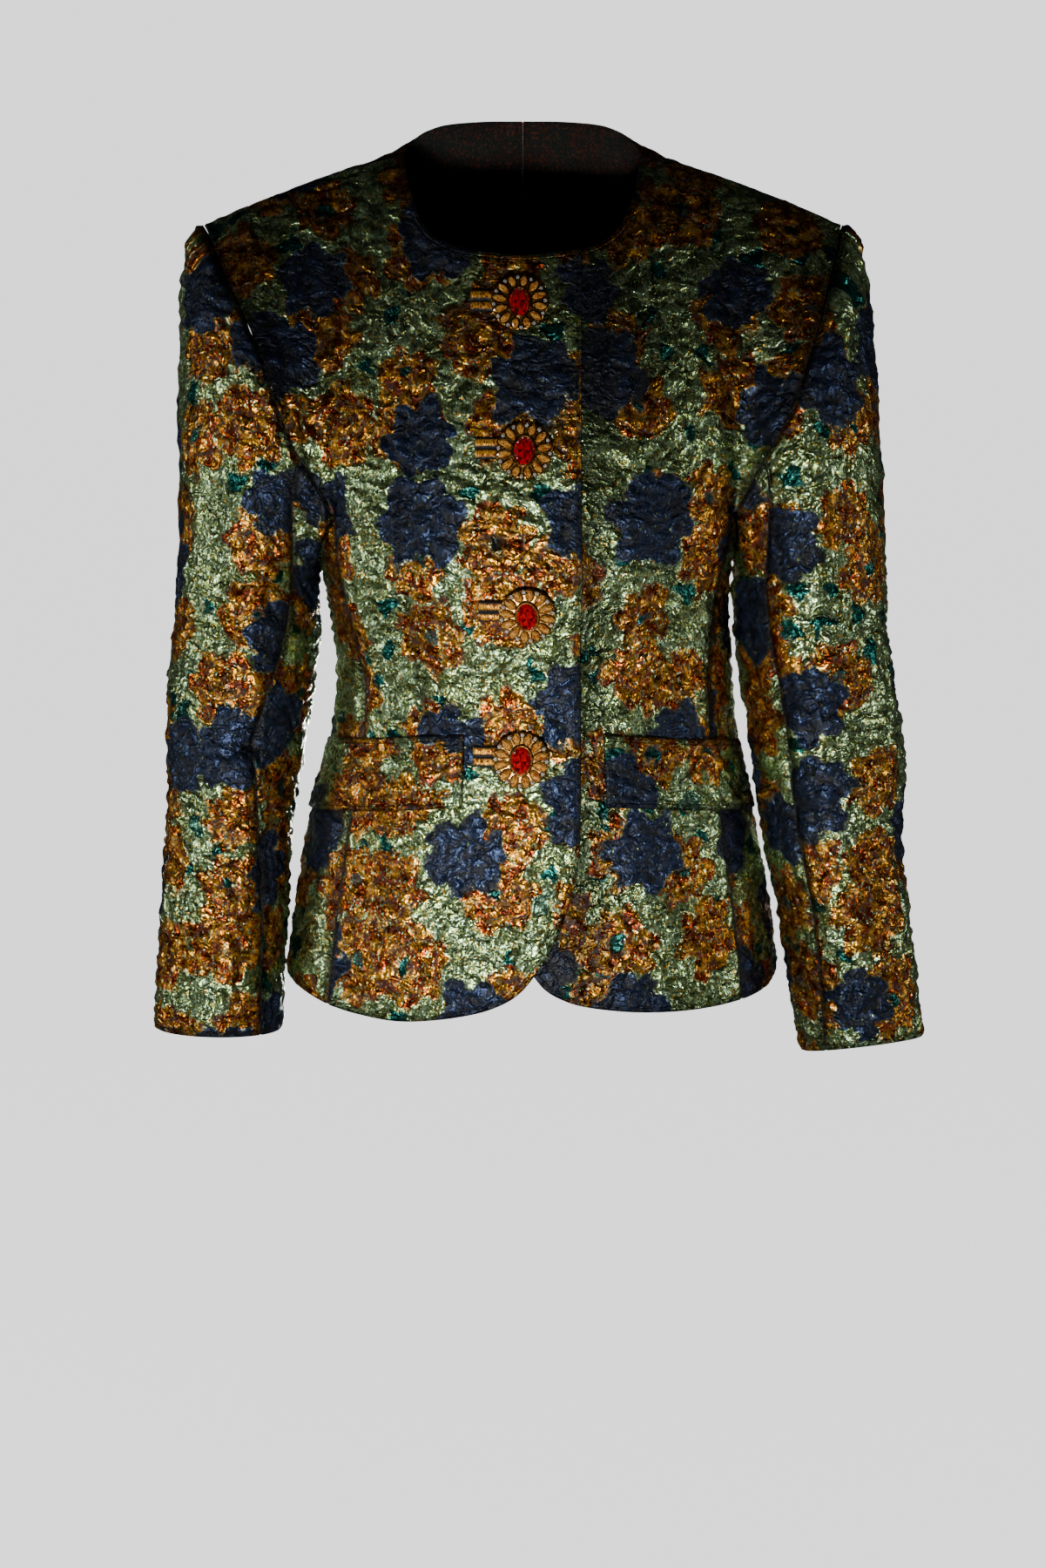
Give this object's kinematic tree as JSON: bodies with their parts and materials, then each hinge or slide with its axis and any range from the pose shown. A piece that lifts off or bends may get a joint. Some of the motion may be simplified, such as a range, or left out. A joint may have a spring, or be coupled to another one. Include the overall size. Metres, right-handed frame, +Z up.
{
  "type": "jacquard jacket",
  "caption": "Women's collarless fitted jacket in figured metallic jacquard, with hip flaps, a cutaway hem and large jewelled buttons, worn open at neck, hem and cuffs.",
  "frame": {"origin": "midway between the two neck points, where the shoulder seams meet the neckline, which is where the wearer's shoulders carry the jacket", "axes": "+Z up, -Y out of the front, +X towards the wearer's left"},
  "size_m": [0.5335, 0.2494, 0.6366],
  "materials": {
    "jacquard": "blistered metallic jacquard, olive black with rust, mint and steel blue flowers",
    "setting": "antique gold",
    "red_stone": "faceted and polished"
  },
  "bodies": {
    "root": {"front_right": "jacquard", "front_left": "jacquard", "side_right": "jacquard", "side_left": "jacquard", "back_right": "jacquard", "back_left": "jacquard", "sleeve_right_upper": "jacquard", "sleeve_right_under": "jacquard", "sleeve_left_upper": "jacquard", "sleeve_left_under": "jacquard", "flap_right": "jacquard", "flap_left": "jacquard", "buttonhole_1": "jacquard", "buttonhole_2": "jacquard", "buttonhole_3": "jacquard", "buttonhole_4": "jacquard", "button_1": "setting", "button_2": "setting", "button_3": "setting", "button_4": "setting", "stone_1": "red_stone", "stone_2": "red_stone", "stone_3": "red_stone", "stone_4": "red_stone"}
  },
  "joints": []
}
